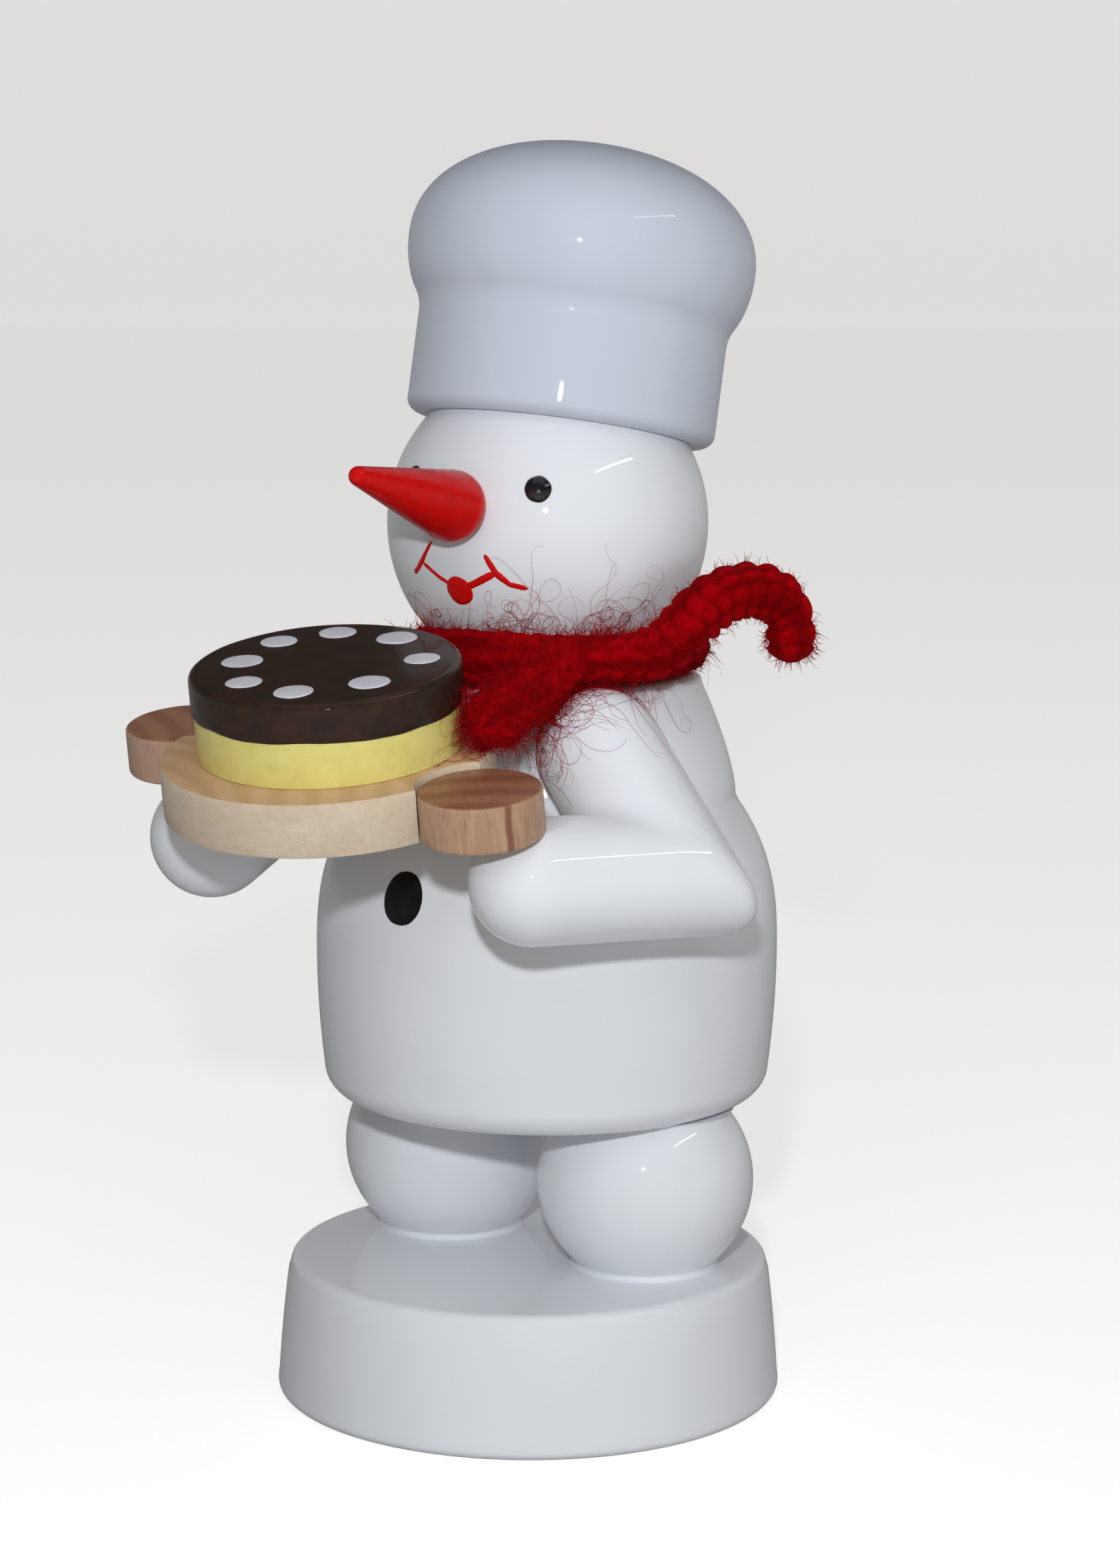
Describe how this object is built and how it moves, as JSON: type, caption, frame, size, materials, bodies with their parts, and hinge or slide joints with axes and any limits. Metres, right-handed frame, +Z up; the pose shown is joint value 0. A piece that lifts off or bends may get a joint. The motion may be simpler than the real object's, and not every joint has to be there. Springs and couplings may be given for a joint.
{
  "type": "wooden snowman figure",
  "caption": "Small turned-wood snowman in a chef's hat that stands on a round base and carries a cake on a handled tray, with a knitted scarf round its neck.",
  "frame": {"origin": "centre of the base's underside", "axes": "+Z up, -Y the way the figure faces, +X to the figure's own left hand"},
  "size_m": [0.0444, 0.0459, 0.0805],
  "materials": {
    "white_lacquer": "white paint under clear gloss lacquer",
    "hat_lacquer": "cool white paint under clear gloss lacquer",
    "red_lacquer": "red gloss paint",
    "pale_wood": "bare maple under thin satin lacquer",
    "handle_wood": "reddish-brown wood under thin satin lacquer",
    "dowel_wood": "bare birch dowel",
    "cake_paint": "yellow paint with a brown glazed top",
    "red_wool": "knitted wool cord"
  },
  "bodies": {
    "root": {"base": "white_lacquer", "left_foot": "white_lacquer", "right_foot": "white_lacquer", "left_leg_dowel": "dowel_wood", "right_leg_dowel": "dowel_wood", "body": "white_lacquer", "neck_dowel": "dowel_wood", "head": "white_lacquer", "hat_dowel": "dowel_wood", "hat": "hat_lacquer", "nose": "red_lacquer", "left_upper_arm": "white_lacquer", "right_upper_arm": "white_lacquer", "left_forearm": "white_lacquer", "right_forearm": "white_lacquer", "left_shoulder_dowel": "dowel_wood", "right_shoulder_dowel": "dowel_wood", "tray": "pale_wood", "left_tray_handle": "handle_wood", "right_tray_handle": "handle_wood", "cake": "cake_paint", "scarf": "red_wool"}
  },
  "joints": []
}
